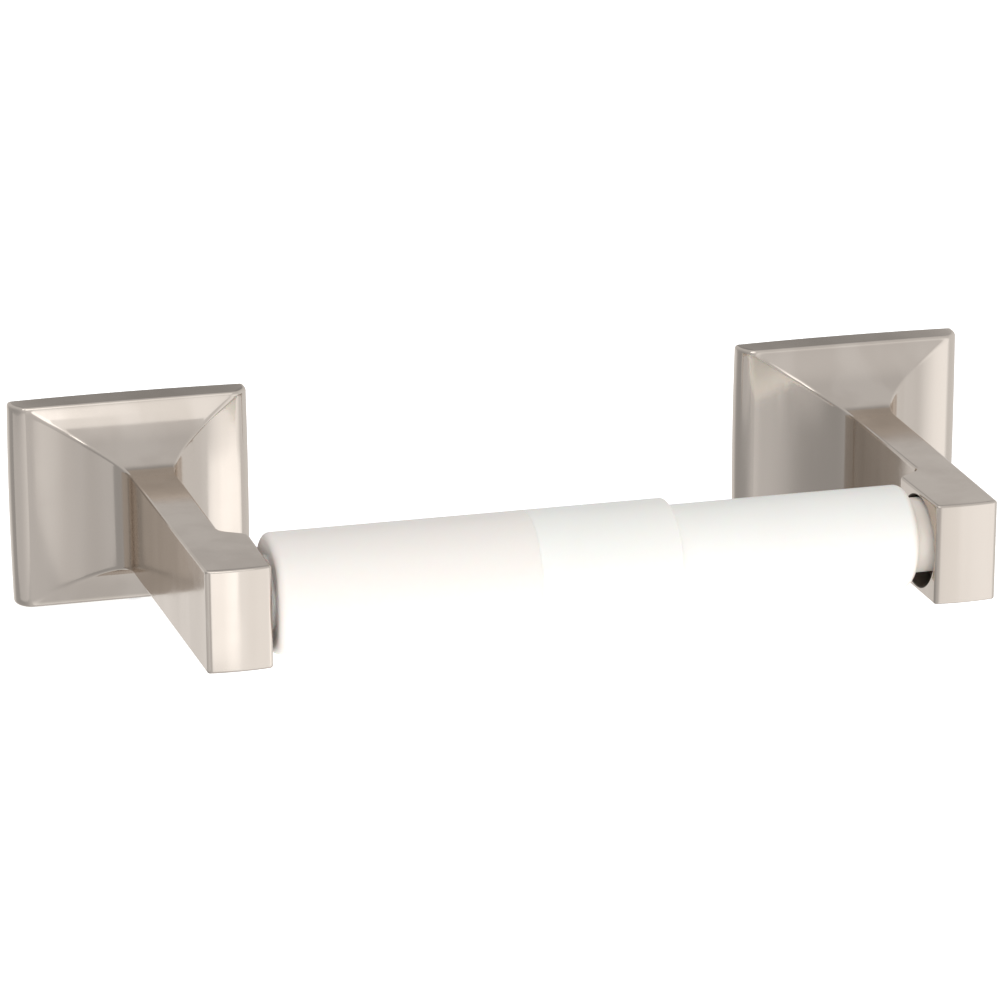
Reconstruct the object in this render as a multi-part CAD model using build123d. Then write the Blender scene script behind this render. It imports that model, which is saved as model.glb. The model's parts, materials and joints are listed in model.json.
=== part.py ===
from build123d import *
from math import cos, radians, sin
import os

# Two-post wall-mounted toilet paper holder, in millimetres.
# X runs along the roller, +Y points into the wall, +Z is up. The wall is the plane Y = 0 and the
# origin is on it, midway between the posts and level with the middle of their flanges.

# Whole object
POST_SPACING = 158.8          # centre to centre of the two flanges
PROJECTION = 86.6             # wall to the front of the heads

# Flange
FLANGE_WIDTH = 50.8
FLANGE_HEIGHT = 44.4
FLANGE_BOW = 0.25             # how far each side of the outline bulges at its middle
FLANGE_CORNER_R = 0.9
RIM_DEPTH = 5.2               # thickness of the flange at its rim
RIM_EDGE_R = 0.8
LEDGE_X = 2.5                 # flat margin between the side edges and the flare
LEDGE_Z = 1.2                 # the same along the top and bottom edges
FLARE_DEPTH = 23.0            # wall to where the flare has become the arm
FLARE_ARC = 75.0              # degrees of ellipse in each flare; 90 would meet the margin level

# Arm and head, measured from the flange's centre; "inner" faces the roller
ARM_ROOT_OUTER = 3.6
ARM_ROOT_INNER = 5.8
ARM_TIP_OUTER = 1.6
ARM_TIP_INNER = 6.2
ARM_HEIGHT = 20.8
HEAD_INNER = 11.4
HEAD_DEPTH = 21.4             # front to back along the head's inner face
STEP_SLOPE = 3.4              # how far the back of the head leans towards the wall
STEP_INSIDE_R = 3.6
STEP_OUTSIDE_R = 1.2
HEAD_CROWN = 0.5              # bulge of the head's front face
EDGE_R = 0.5                  # along the arm and around the head's front, running into the hips

# Hollow back of the casting
CASTING_WALL = 2.0
SIDE_WALL = 2.3
HOLLOW_LEDGE_Z = 2.5          # top and bottom edges to the start of the hollow's flare
HOLLOW_DEPTH = 19.0

# Socket in the inner face of each head
SOCKET_R = 9.4
SOCKET_DEPTH = 4.5
SOCKET_FROM_FRONT = 10.7      # head front to the socket's axis

# Wall bracket
BRACKET_WIDTH = 30.0
BRACKET_SHEET = 1.2
BRACKET_HALF_HEIGHT = 16.2
BRACKET_LIP_DEPTH = 3.2
BRACKET_LIP_FLARE = 1.0       # how much further out the lips' front edges are
WALL_HOLE_R = 2.3
WALL_HOLE_SPACING = 18.0

# Wall screw
SHANK_R = 2.05
NECK_R = 2.2                  # plain neck in the bracket's hole
SCREW_LENGTH = 25.0           # under the head to the point
SCREW_POINT = 4.5
SCREW_HEAD_R = 3.8
SCREW_HEAD_HEIGHT = 2.4
DRIVE_WIDTH = 0.9
DRIVE_SPAN = 4.0
DRIVE_DEPTH = 1.3

# Set screw
SET_SCREW_R = 1.45
SET_SCREW_HOLE_R = 1.5
SET_SCREW_FROM_WALL = 2.2
SET_SCREW_TOP = 17.25         # distance of its tip below the flange's centre
SET_SCREW_LENGTH = 4.6
HEX_KEY = 1.5
HEX_DEPTH = 1.6

# Roller, about its own axis
ROLLER_ABOVE_SOCKET = 1.3     # the pins are held a little above the middle of the sockets
OUTER_TUBE_R = 12.0
INNER_TUBE_R = 10.5
SLIDING_GAP = 0.06
TUBE_END_R = 1.5
STEP_EDGE_R = 0.5
OUTER_WALL = 0.9
INNER_WALL = 1.2
END_WALL = 2.0
GAP_LEFT = 1.2                # head to the shoulder of the larger tube
GAP_RIGHT = 3.2               # head to the shoulder of the smaller tube
OUTER_TUBE_END = 14.6         # open end of the larger tube
GUIDE_LENGTH = 6.0            # narrow mouth of the larger tube
INNER_TUBE_START = -14.3      # hidden end of the smaller tube
COLLAR_R = 10.8
COLLAR_LENGTH = 2.0
PIN_R = 7.6
PIN_CHAMFER = 0.5
PIN_BORE_R = 5.6
PIN_END_WALL = 1.5
PIN_END_GAP = 0.3             # end of each pin to the floor of its socket
SEAM_DEPTH = 0.15
SEAM_HALF_WIDTH = 0.25

# Spring
SPRING_R = 4.6
SPRING_WIRE_R = 0.5
SPRING_TURNS = 16
SPRING_END_GAP = 0.05

# Worked out from the above
SPAN = 60.0                   # longer than any section it cuts
HALF_WIDTH = FLANGE_WIDTH / 2
HALF_HEIGHT = FLANGE_HEIGHT / 2
HEAD_FACE = POST_SPACING / 2 - HEAD_INNER
SOCKET_Y = -(PROJECTION - SOCKET_FROM_FRONT)
PIN_END = HEAD_FACE + SOCKET_DEPTH - PIN_END_GAP

# A profile drawn as (height, depth) becomes a section in the plane of Y and Z.
SIDE_PLANE = Plane(origin=(0, 0, 0), x_dir=(0, 0, 1), z_dir=(-1, 0, 0))


def flare_side(side, edge, ledge, root, rim, depth):
    """Edge, rim and concave elliptical flare on one side (-1 or 1) of a flange section."""
    wall = Line((side * edge, 0), (side * edge, -rim))
    margin = Line((side * edge, -rim), (side * ledge, -rim))
    arc = radians(FLARE_ARC)
    across, deep = (ledge - root) / (1 - cos(arc)), (depth - rim) / sin(arc)
    start = 0 if side < 0 else 180 - FLARE_ARC
    centre = (side * (root + across), -depth)
    flare = EllipticalCenterArc(centre, across, deep, start, arc_size=FLARE_ARC)
    return [wall, margin, flare]


def section(edges, plane=Plane.XY):
    """A closed section on a plane, pushed out both ways."""
    return extrude(plane.offset(-SPAN) * make_face(edges), amount=2 * SPAN)


def bowed_outline():
    """The flange seen from the front: a rectangle with bulging sides and rounded corners."""
    x, z = HALF_WIDTH - FLANGE_BOW, HALF_HEIGHT - FLANGE_BOW
    sides = [
        ThreePointArc((-x, -z), (0, -HALF_HEIGHT), (x, -z)),
        ThreePointArc((x, -z), (HALF_WIDTH, 0), (x, z)),
        ThreePointArc((x, z), (0, HALF_HEIGHT), (-x, z)),
        ThreePointArc((-x, z), (-HALF_WIDTH, 0), (-x, -z)),
    ]
    face = make_face(sides)
    face = fillet(face.vertices(), FLANGE_CORNER_R)
    return extrude(Plane.XZ.offset(-SPAN) * face, amount=3 * SPAN)


def post_top_section():
    """The post seen from above: flange, flare, arm and the head that steps in towards the roller."""
    ledge = HALF_WIDTH - LEDGE_X
    front = -(PROJECTION - HEAD_CROWN)
    head_back = -(PROJECTION - HEAD_DEPTH)
    middle = (HEAD_INNER - ARM_TIP_OUTER) / 2
    edges = flare_side(-1, HALF_WIDTH, ledge, ARM_ROOT_OUTER, RIM_DEPTH, FLARE_DEPTH)
    edges += flare_side(1, HALF_WIDTH, ledge, ARM_ROOT_INNER, RIM_DEPTH, FLARE_DEPTH)
    edges += [
        Line((-HALF_WIDTH, 0), (HALF_WIDTH, 0)),
        Line((-ARM_ROOT_OUTER, -FLARE_DEPTH), (-ARM_TIP_OUTER, front)),
        ThreePointArc((-ARM_TIP_OUTER, front), (middle, -PROJECTION), (HEAD_INNER, front)),
    ]
    inner_side = FilletPolyline(
        (HEAD_INNER, front),
        (HEAD_INNER, head_back),
        (ARM_TIP_INNER, head_back + STEP_SLOPE),
        (ARM_ROOT_INNER, -FLARE_DEPTH),
        radius=(STEP_OUTSIDE_R, STEP_INSIDE_R),
    )
    edges += inner_side.edges()
    return section(edges)


def post_side_section():
    """The post seen from the side: flange, flare and a straight arm."""
    half = ARM_HEIGHT / 2
    ledge = HALF_HEIGHT - LEDGE_Z
    edges = flare_side(-1, HALF_HEIGHT, ledge, half, RIM_DEPTH, FLARE_DEPTH)
    edges += flare_side(1, HALF_HEIGHT, ledge, half, RIM_DEPTH, FLARE_DEPTH)
    arm = Polyline((-half, -FLARE_DEPTH), (-half, -2 * SPAN), (half, -2 * SPAN), (half, -FLARE_DEPTH))
    edges += [Line((-HALF_HEIGHT, 0), (HALF_HEIGHT, 0)), *arm.edges()]
    return section(edges, SIDE_PLANE)


def hollow_section(edge, ledge, root_outer, root_inner, plane=Plane.XY):
    """A section of the hollow back, one casting wall inside the flare."""
    rim = RIM_DEPTH - CASTING_WALL
    edges = flare_side(-1, edge, ledge, root_outer - CASTING_WALL, rim, FLARE_DEPTH)
    edges += flare_side(1, edge, ledge, root_inner - CASTING_WALL, rim, FLARE_DEPTH)
    edges += [
        Line((-edge, 0), (edge, 0)),
        Line((CASTING_WALL - root_outer, -FLARE_DEPTH), (root_inner - CASTING_WALL, -FLARE_DEPTH)),
    ]
    return section(edges, plane)


def hollow_back():
    """The space behind the flange that takes the wall bracket."""
    wide = hollow_section(
        HALF_WIDTH - SIDE_WALL, HALF_WIDTH - LEDGE_X, ARM_ROOT_OUTER, ARM_ROOT_INNER
    )
    tall = hollow_section(
        HALF_HEIGHT - SIDE_WALL, HALF_HEIGHT - HOLLOW_LEDGE_Z, ARM_HEIGHT / 2, ARM_HEIGHT / 2, SIDE_PLANE
    )
    reach = Pos(0, -HOLLOW_DEPTH / 2, 0) * Box(SPAN, HOLLOW_DEPTH, SPAN)
    return wide & tall & reach


def rim_edges(solid):
    """The front edges of the flange's rim, along its outline."""
    on_rim = [e for e in solid.edges() if abs(e.bounding_box().min.Y + RIM_DEPTH) < 0.01]
    on_rim = [e for e in on_rim if abs(e.bounding_box().max.Y + RIM_DEPTH) < 0.01]
    return [
        e
        for e in on_rim
        if all(
            abs(v.X) > HALF_WIDTH - FLANGE_BOW - FLANGE_CORNER_R - 0.1
            and abs(v.Z) > HALF_HEIGHT - FLANGE_BOW - FLANGE_CORNER_R - 0.1
            for v in e.vertices()
        )
    ]


def head_front_edges(solid):
    """The four edges around the head's front face."""
    return [e for e in solid.edges() if e.bounding_box().max.Y < -(PROJECTION - HEAD_CROWN) + 0.01]


def arm_edges(solid):
    """The long edges of the arm and head, on their top and bottom faces."""
    half = ARM_HEIGHT / 2
    found = []
    for e in solid.edges():
        box = e.bounding_box()
        level = abs(box.max.Z - box.min.Z) < 0.01 and abs(abs(box.max.Z) - half) < 0.01
        if level and box.max.Y < -FLARE_DEPTH + 0.01 and box.size.Y > HEAD_CROWN + 0.1:
            found.append(e)
    return found


def make_post():
    """The left post, with its flange's centre at X = 0 and the roller on its +X side."""
    post = post_top_section() & post_side_section() & bowed_outline()
    post = fillet(rim_edges(post), RIM_EDGE_R)
    post = fillet(arm_edges(post) + head_front_edges(post), EDGE_R)
    post -= hollow_back()
    socket = Cylinder(SOCKET_R, SOCKET_DEPTH, rotation=(0, 90, 0))
    post -= Pos(HEAD_INNER - SOCKET_DEPTH / 2, SOCKET_Y, 0) * socket
    hole = Cylinder(SET_SCREW_HOLE_R, 2 * (HALF_HEIGHT - SET_SCREW_TOP))
    post -= Pos(0, -SET_SCREW_FROM_WALL, -HALF_HEIGHT) * hole
    return post


def make_bracket():
    """A stamped plate whose top and bottom lips flare outwards, like a dovetail."""
    z, lip_z = BRACKET_HALF_HEIGHT, BRACKET_HALF_HEIGHT + BRACKET_LIP_FLARE
    inside = z - BRACKET_SHEET
    lip_inside = lip_z - BRACKET_SHEET
    sheet = Polyline(
        (-z, 0),
        (z, 0),
        (lip_z, -BRACKET_LIP_DEPTH),
        (lip_inside, -BRACKET_LIP_DEPTH),
        (inside, -BRACKET_SHEET),
        (-inside, -BRACKET_SHEET),
        (-lip_inside, -BRACKET_LIP_DEPTH),
        (-lip_z, -BRACKET_LIP_DEPTH),
        (-z, 0),
    )
    bracket = extrude(SIDE_PLANE * make_face(sheet.edges()), amount=BRACKET_WIDTH / 2, both=True)
    hole = Cylinder(WALL_HOLE_R, 4 * BRACKET_SHEET, rotation=(90, 0, 0))
    for z in (-WALL_HOLE_SPACING / 2, WALL_HOLE_SPACING / 2):
        bracket -= Pos(0, -BRACKET_SHEET / 2, z) * hole
    return bracket


def make_wall_screw():
    """A pan-head wood screw along Y, its head's underside at Y = 0 and its point in the wall."""
    shoulder = SCREW_LENGTH - SCREW_POINT
    outline = [
        Line((0, SCREW_LENGTH), (SHANK_R, shoulder)),
        Line((SHANK_R, shoulder), (SHANK_R, BRACKET_SHEET)),
        Line((SHANK_R, BRACKET_SHEET), (NECK_R, BRACKET_SHEET)),
        Line((NECK_R, BRACKET_SHEET), (NECK_R, 0)),
        Line((NECK_R, 0), (SCREW_HEAD_R, 0)),
        Line((SCREW_HEAD_R, 0), (SCREW_HEAD_R, -SCREW_HEAD_HEIGHT / 2)),
        RadiusArc(
            (SCREW_HEAD_R, -SCREW_HEAD_HEIGHT / 2), (0, -SCREW_HEAD_HEIGHT), -2 * SCREW_HEAD_R
        ),
        Line((0, -SCREW_HEAD_HEIGHT), (0, SCREW_LENGTH)),
    ]
    screw = revolve(make_face(outline), Axis.Y)
    drive = Box(DRIVE_SPAN, 2 * DRIVE_DEPTH, DRIVE_WIDTH) + Box(DRIVE_WIDTH, 2 * DRIVE_DEPTH, DRIVE_SPAN)
    return screw - Pos(0, -SCREW_HEAD_HEIGHT, 0) * drive


def make_set_screw():
    """A headless screw along Z with a hexagon socket in its lower end."""
    screw = Cylinder(SET_SCREW_R, SET_SCREW_LENGTH)
    screw = chamfer(screw.edges().filter_by(GeomType.CIRCLE), 0.3)
    socket = extrude(RegularPolygon(HEX_KEY / 2, 6, major_radius=False), amount=HEX_DEPTH)
    return screw - Pos(0, 0, -SET_SCREW_LENGTH / 2) * socket


def turned(points, rounds):
    """A closed outline of (x, radius) points turned about X, with some corners rounded."""
    outline = make_face(Polyline(*points, close=True).edges())
    for corner, radius in rounds:
        at = [v for v in outline.vertices() if abs(v.X - corner[0]) + abs(v.Y - corner[1]) < 0.001]
        outline = fillet(at, radius)
    return revolve(outline, Axis.X)


def make_outer_tube():
    """The larger tube, closed on the left with a hollow pin, with a faint seam round it."""
    shoulder = -(HEAD_FACE - GAP_LEFT)
    mouth = OUTER_TUBE_END - GUIDE_LENGTH
    bore_r = OUTER_TUBE_R - OUTER_WALL
    points = [
        (-PIN_END, 0),
        (-PIN_END, PIN_R - PIN_CHAMFER),
        (-PIN_END + PIN_CHAMFER, PIN_R),
        (shoulder, PIN_R),
        (shoulder, OUTER_TUBE_R),
        (INNER_TUBE_START - SEAM_HALF_WIDTH, OUTER_TUBE_R),
        (INNER_TUBE_START, OUTER_TUBE_R - SEAM_DEPTH),
        (INNER_TUBE_START + SEAM_HALF_WIDTH, OUTER_TUBE_R),
        (OUTER_TUBE_END, OUTER_TUBE_R),
        (OUTER_TUBE_END, INNER_TUBE_R + SLIDING_GAP),
        (mouth, INNER_TUBE_R + SLIDING_GAP),
        (mouth, bore_r),
        (shoulder + END_WALL, bore_r),
        (shoulder + END_WALL, PIN_BORE_R),
        (-PIN_END + PIN_END_WALL, PIN_BORE_R),
        (-PIN_END + PIN_END_WALL, 0),
    ]
    rounds = [((shoulder, OUTER_TUBE_R), TUBE_END_R), ((OUTER_TUBE_END, OUTER_TUBE_R), STEP_EDGE_R)]
    return turned(points, rounds)


def make_inner_tube():
    """The smaller tube, closed on the right with a hollow pin, with a collar at its hidden end."""
    shoulder = HEAD_FACE - GAP_RIGHT
    bore_r = INNER_TUBE_R - INNER_WALL
    points = [
        (PIN_END, 0),
        (PIN_END, PIN_R - PIN_CHAMFER),
        (PIN_END - PIN_CHAMFER, PIN_R),
        (shoulder, PIN_R),
        (shoulder, INNER_TUBE_R),
        (INNER_TUBE_START + COLLAR_LENGTH, INNER_TUBE_R),
        (INNER_TUBE_START + COLLAR_LENGTH, COLLAR_R),
        (INNER_TUBE_START, COLLAR_R),
        (INNER_TUBE_START, bore_r),
        (shoulder - END_WALL, bore_r),
        (shoulder - END_WALL, PIN_BORE_R),
        (PIN_END - PIN_END_WALL, PIN_BORE_R),
        (PIN_END - PIN_END_WALL, 0),
    ]
    return turned(points, [((shoulder, INNER_TUBE_R), TUBE_END_R)])


def make_spring():
    """A compression spring seated in the two hollow pins."""
    half = PIN_END - PIN_END_WALL - SPRING_WIRE_R - SPRING_END_GAP
    pitch = 2 * half / SPRING_TURNS
    path = Helix(pitch, 2 * half, SPRING_R)
    start = Plane(origin=path @ 0, z_dir=path % 0)
    coil = sweep(start * Circle(SPRING_WIRE_R), path)
    return Pos(-half, 0, 0) * Rot(0, 90, 0) * coil


def write(name, solid, x=0.0, y=0.0, z=0.0):
    """Save one piece at its place in the assembly."""
    placed = Pos(x, y, z) * solid
    placed.label = name
    export_step(placed, f"parts/{name}.step")


def main():
    os.makedirs("parts", exist_ok=True)
    post, bracket = make_post(), make_bracket()
    wall_screw, set_screw = make_wall_screw(), make_set_screw()
    set_screw_z = -SET_SCREW_TOP - SET_SCREW_LENGTH / 2
    for side, x in (("left", -POST_SPACING / 2), ("right", POST_SPACING / 2)):
        casting = post if side == "left" else mirror(post, Plane.YZ)
        write(f"{side}_post", casting, x)
        write(f"{side}_wall_bracket", bracket, x)
        write(f"{side}_set_screw", set_screw, x, -SET_SCREW_FROM_WALL, set_screw_z)
        for level, z in (("upper", WALL_HOLE_SPACING / 2), ("lower", -WALL_HOLE_SPACING / 2)):
            write(f"{side}_{level}_wall_screw", wall_screw, x, -BRACKET_SHEET, z)
    roller_place = {"y": SOCKET_Y, "z": ROLLER_ABOVE_SOCKET}
    write("roller_outer_tube", make_outer_tube(), **roller_place)
    write("roller_inner_tube", make_inner_tube(), **roller_place)
    write("roller_spring", make_spring(), **roller_place)


main()
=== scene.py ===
"""Looks of a two-post toilet paper holder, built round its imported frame.

Lengths in the classes are millimetres unless a name says otherwise, and every finished mesh is in
metres in the frame's own axes: X along the roller, +Y into the wall, +Z up, with the wall at Y = 0.
"""
import json
import logging
from collections.abc import Callable, Iterable, Sequence
from dataclasses import dataclass
from enum import Enum
from math import acos, asin, atan2, ceil, cos, pi, radians, sin, sqrt, tan

import bmesh
import bpy
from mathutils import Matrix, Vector


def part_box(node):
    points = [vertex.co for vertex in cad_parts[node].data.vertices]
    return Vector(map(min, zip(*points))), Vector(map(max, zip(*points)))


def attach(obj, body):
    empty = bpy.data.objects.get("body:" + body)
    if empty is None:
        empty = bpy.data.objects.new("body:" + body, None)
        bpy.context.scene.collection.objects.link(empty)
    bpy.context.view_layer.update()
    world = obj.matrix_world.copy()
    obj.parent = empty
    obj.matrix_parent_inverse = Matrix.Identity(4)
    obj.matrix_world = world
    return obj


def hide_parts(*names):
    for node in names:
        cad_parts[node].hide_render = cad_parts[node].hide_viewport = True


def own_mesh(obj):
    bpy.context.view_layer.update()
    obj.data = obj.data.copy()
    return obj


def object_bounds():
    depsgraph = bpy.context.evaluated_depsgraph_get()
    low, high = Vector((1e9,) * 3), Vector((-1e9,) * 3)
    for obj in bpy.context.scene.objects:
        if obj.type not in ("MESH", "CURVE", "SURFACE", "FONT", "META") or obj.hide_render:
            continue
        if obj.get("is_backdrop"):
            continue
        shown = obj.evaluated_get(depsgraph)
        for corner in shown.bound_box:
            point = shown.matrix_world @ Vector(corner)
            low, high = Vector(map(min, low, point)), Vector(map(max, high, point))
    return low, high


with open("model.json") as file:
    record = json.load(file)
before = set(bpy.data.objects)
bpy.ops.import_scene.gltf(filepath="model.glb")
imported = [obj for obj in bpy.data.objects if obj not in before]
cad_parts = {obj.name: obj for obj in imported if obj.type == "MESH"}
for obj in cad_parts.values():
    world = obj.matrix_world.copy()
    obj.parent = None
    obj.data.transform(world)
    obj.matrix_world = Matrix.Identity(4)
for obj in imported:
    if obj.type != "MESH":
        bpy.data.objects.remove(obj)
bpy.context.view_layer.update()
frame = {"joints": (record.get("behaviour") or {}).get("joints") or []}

MM = 0.001
SEAM_X = -14.3          # where the roller's two halves of tint meet, in millimetres
NORMAL_WEIGHT = 80      # how far larger faces win when a piece's normals are averaged
SCREW_CREASE = 40.0     # degrees a screw's surface may turn and still be shaded smoothly
LOG = logging.getLogger("holder")

Point2 = tuple[float, float]
Point3 = tuple[float, float, float]
Colour = tuple[float, float, float]
Piece = bpy.types.Object
Socket = bpy.types.NodeSocket


class Side(Enum):
    """Which end of the roller a piece is at; the value is its sign along X."""

    LEFT = -1
    RIGHT = 1

    @property
    def word(self) -> str:
        """The side's name as node names spell it."""
        return self.name.lower()


class Level(Enum):
    """Which hole of a bracket a wall screw is in; the value is its sign along Z."""

    UPPER = 1
    LOWER = -1

    @property
    def word(self) -> str:
        """The level's name as node names spell it."""
        return self.name.lower()


class Body(Enum):
    """The bodies that move against each other."""

    FIXTURE = "wall_fixture"
    ROLLER = "roller"
    ROLLER_END = "roller_end"


# ---------------------------------------------------------------------------------------------
# Outlines and meshes
# ---------------------------------------------------------------------------------------------


def box_mm(node: str) -> tuple[Vector, Vector]:
    """A frame node's lowest and highest corners, in millimetres."""
    low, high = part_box(node)
    return low / MM, high / MM


def between(first: Sequence[float], last: Sequence[float], share: float) -> tuple[float, ...]:
    """The point a share of the way from one point to another."""
    return tuple(a + (b - a) * share for a, b in zip(first, last))


def joint_named(name: str) -> dict:
    """One of the frame's joints."""
    return next(joint for joint in frame["joints"] if joint["name"] == name)


def rounded_path(points: Sequence[Point2], radii: dict[int, float], steps: int = 6) -> list[Point2]:
    """A path with some of its corners replaced by arcs.

    Args:
        points: Corners of the path.
        radii: Radius of the arc at each rounded corner, by the corner's place in points.
        steps: Straight pieces in each arc.

    Returns:
        The path's points in order.
    """
    path: list[Point2] = []
    for i, corner in enumerate(points):
        if i not in radii:
            path.append(corner)
            continue
        here = Vector(corner)
        before = (Vector(points[i - 1]) - here).normalized()
        after = (Vector(points[(i + 1) % len(points)]) - here).normalized()
        half = acos(before.dot(after)) / 2
        centre = here + (before + after).normalized() * radii[i] / sin(half)
        start = here + before * radii[i] / tan(half) - centre
        end = here + after * radii[i] / tan(half) - centre
        turn = atan2(start.x * end.y - start.y * end.x, start.dot(end))
        for k in range(steps + 1):
            c, s = cos(turn * k / steps), sin(turn * k / steps)
            path.append((centre.x + start.x * c - start.y * s, centre.y + start.x * s + start.y * c))
    return path


def make_piece(name: str, points: Iterable[Point3], faces: Iterable[Sequence[int]]) -> Piece:
    """A mesh object from points in millimetres, with its faces turned outwards.

    Args:
        name: Name of the object and its mesh.
        points: Places of the vertices, in millimetres.
        faces: Vertex numbers of each face.

    Returns:
        The new object, in metres.
    """
    mesh = bpy.data.meshes.new(name)
    mesh.from_pydata([tuple(c * MM for c in p) for p in points], [], [tuple(f) for f in faces])
    work = bmesh.new()
    work.from_mesh(mesh)
    bmesh.ops.recalc_face_normals(work, faces=work.faces)
    work.to_mesh(mesh)
    work.free()
    piece = bpy.data.objects.new(name, mesh)
    bpy.context.scene.collection.objects.link(piece)
    return piece


def bridge(rings: int, around: int, first: int = 0) -> list[tuple[int, ...]]:
    """Quads that join closed rings of points stored one after another.

    Args:
        rings: Number of rings.
        around: Points in each ring.
        first: Number of the first ring's first vertex.

    Returns:
        The quads.
    """
    quads = []
    for ring in range(rings - 1):
        low = first + ring * around
        for i in range(around):
            j = (i + 1) % around
            quads.append((low + i, low + j, low + around + j, low + around + i))
    return quads


def closed_loft(name: str, rings: Sequence[Sequence[Point3]]) -> Piece:
    """A closed piece through rings of equally many points, with a flat face over each end.

    Args:
        name: Name of the piece.
        rings: The rings' points, in order.

    Returns:
        The piece.
    """
    around = len(rings[0])
    points = [point for ring in rings for point in ring]
    faces = bridge(len(rings), around)
    faces += [tuple(range(around)), tuple(range(len(points) - around, len(points)))]
    return make_piece(name, points, faces)


def apply_modifiers(piece: Piece) -> None:
    """Make a piece's modifiers part of its mesh.

    Args:
        piece: The piece, which loses its modifiers.
    """
    graph = bpy.context.evaluated_depsgraph_get()
    old = piece.data
    piece.data = bpy.data.meshes.new_from_object(piece.evaluated_get(graph))
    piece.modifiers.clear()
    bpy.data.meshes.remove(old)
    piece.data.name = piece.name


def cut(piece: Piece, cutters: Sequence[Piece]) -> None:
    """Take closed cutters out of a piece and remove them from the scene.

    Args:
        piece: The piece to cut.
        cutters: Closed meshes, which are used up. The faces they leave keep their materials.
    """
    for cutter in cutters:
        modifier = piece.modifiers.new("cut", "BOOLEAN")
        modifier.operation, modifier.solver, modifier.object = "DIFFERENCE", "EXACT", cutter
        modifier.material_mode = "TRANSFER"
    apply_modifiers(piece)
    for cutter in cutters:
        bpy.data.objects.remove(cutter)


def soften(piece: Piece, width: float, segments: int = 2, angle: float = 40.0) -> None:
    """Round a piece's sharp edges.

    Args:
        piece: The piece to round.
        width: Width of the rounding, in millimetres.
        segments: Strips across each rounded edge.
        angle: Edges that turn by more degrees than this are rounded.
    """
    modifier = piece.modifiers.new("soften", "BEVEL")
    modifier.width, modifier.segments, modifier.limit_method = width * MM, segments, "ANGLE"
    modifier.angle_limit = radians(angle)
    apply_modifiers(piece)


def shade(piece: Piece, angle: float = 32.0) -> None:
    """Shade a piece smoothly up to an angle, with its larger faces keeping their own direction.

    Args:
        piece: The piece to shade.
        angle: Edges that turn by more degrees than this stay crisp.
    """
    mesh = piece.data
    mesh.polygons.foreach_set("use_smooth", [True] * len(mesh.polygons))
    mesh.set_sharp_from_angle(angle=radians(angle))
    modifier = piece.modifiers.new("normals", "WEIGHTED_NORMAL")
    modifier.keep_sharp, modifier.weight = True, NORMAL_WEIGHT
    apply_modifiers(piece)


THREAD_CORE = 0.35      # least share of the radius that a thread leaves


@dataclass(frozen=True)
class Thread:
    """A helical groove cut into a turned piece, between two places along its axis."""

    start: float
    end: float
    pitch: float
    depth: float
    runout: float = 1.0
    rows_per_turn: int = 12
    crest_slope: float = 2.2

    def rows(self) -> list[float]:
        """Places along the axis that are close enough together to show the groove."""
        count = ceil((self.end - self.start) / self.pitch * self.rows_per_turn)
        return [self.start + (self.end - self.start) * i / count for i in range(count + 1)]

    def groove(self, along: float, turn: float) -> float:
        """Depth of the groove at a place.

        Args:
            along: Place along the axis.
            turn: Place round the axis, in turns.

        Returns:
            How far below the crest the surface is.
        """
        if not self.start <= along <= self.end:
            return 0.0
        phase = (along / self.pitch - turn) % 1.0
        crest = max(0.0, 1 - abs(2 * phase - 1) * self.crest_slope)
        fade = min(1.0, (along - self.start) / self.runout)
        return self.depth * (1 - crest) * fade


def turned(name: str, outline: Sequence[Point2], placed: Callable[[float, float, float], Point3],
           around: int = 160, thread: Thread | None = None) -> Piece:
    """A closed outline turned about an axis.

    Args:
        name: Name of the piece.
        outline: Points (along, radius) from one end of the axis to the other; both ends have radius 0.
        placed: Gives the frame's point for a place along the axis and two places across it.
        around: Points in each ring.
        thread: A thread to cut into it.

    Returns:
        The turned piece.
    """
    points: list[Point3] = [placed(outline[0][0], 0.0, 0.0)]
    for along, crest in outline[1:-1]:
        for i in range(around):
            turn = i / around
            sunk = thread.groove(along, turn) if thread else 0.0
            r = max(crest * THREAD_CORE, crest - sunk)
            points.append(placed(along, r * cos(2 * pi * turn), r * sin(2 * pi * turn)))
    points.append(placed(outline[-1][0], 0.0, 0.0))
    faces = bridge(len(outline) - 2, around, first=1)
    last = len(points) - 1
    for i in range(around):
        j = (i + 1) % around
        faces.append((0, 1 + j, 1 + i))
        faces.append((last, last - around + i, last - around + j))
    return make_piece(name, points, faces)


def finish_piece(piece: Piece, material: bpy.types.Material, body: Body, node: str, slot: str) -> None:
    """Dress a new piece, put it on its body and let it stand for its frame node.

    Args:
        piece: The piece.
        material: Its finish, unless it has been given one.
        body: The body that carries it.
        node: The frame node it stands for.
        slot: The record's material slot; not used.
    """
    if not any(piece.data.materials):
        piece.data.materials.clear()
        piece.data.materials.append(material)
    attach(piece, body.value)
    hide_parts(node)
    LOG.info("%s: %d faces on %s, for %s", piece.name, len(piece.data.polygons), body.value, node)


# ---------------------------------------------------------------------------------------------
# Shared effects, as node groups
# ---------------------------------------------------------------------------------------------


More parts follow.
